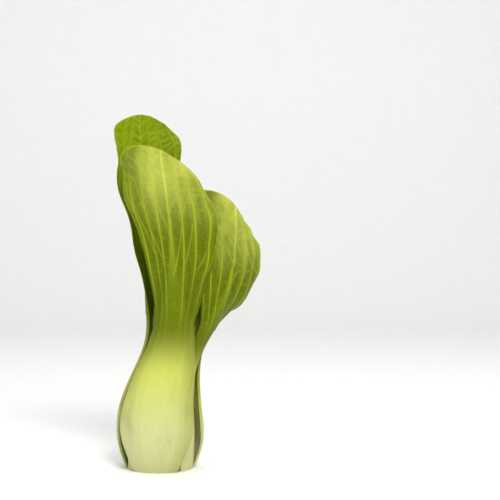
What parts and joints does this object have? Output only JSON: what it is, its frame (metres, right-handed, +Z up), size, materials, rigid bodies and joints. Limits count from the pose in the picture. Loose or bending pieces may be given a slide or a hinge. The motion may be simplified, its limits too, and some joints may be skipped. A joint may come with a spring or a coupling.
{
  "type": "bok choy head",
  "caption": "Whole head of green-stemmed bok choy that stands on its trimmed butt, with thick pale stalks and spoon-shaped green blades.",
  "frame": {"origin": "centre of the trimmed butt, on the face that the head stands on", "axes": "+Z up along the head, -Y towards the broad front leaf, +X to that leaf's right-hand neighbour"},
  "size_m": [0.088, 0.0728, 0.2132],
  "materials": {
    "stem": "pale cut stem, moist",
    "outer_leaf": "waxy green blade on a pale yellow-green stalk",
    "inner_leaf": "young yellow-green blade on a pale stalk"
  },
  "bodies": {
    "root": {"stem_base": "stem", "leaf_01_front": "outer_leaf", "leaf_02_left": "outer_leaf", "leaf_03_right": "outer_leaf", "leaf_04_side": "outer_leaf", "leaf_05_back": "outer_leaf", "leaf_06_near": "outer_leaf", "leaf_07_inner": "inner_leaf", "leaf_08_inner": "inner_leaf", "leaf_09_inner": "inner_leaf", "leaf_10_heart": "inner_leaf", "leaf_11_heart": "inner_leaf"}
  },
  "joints": []
}
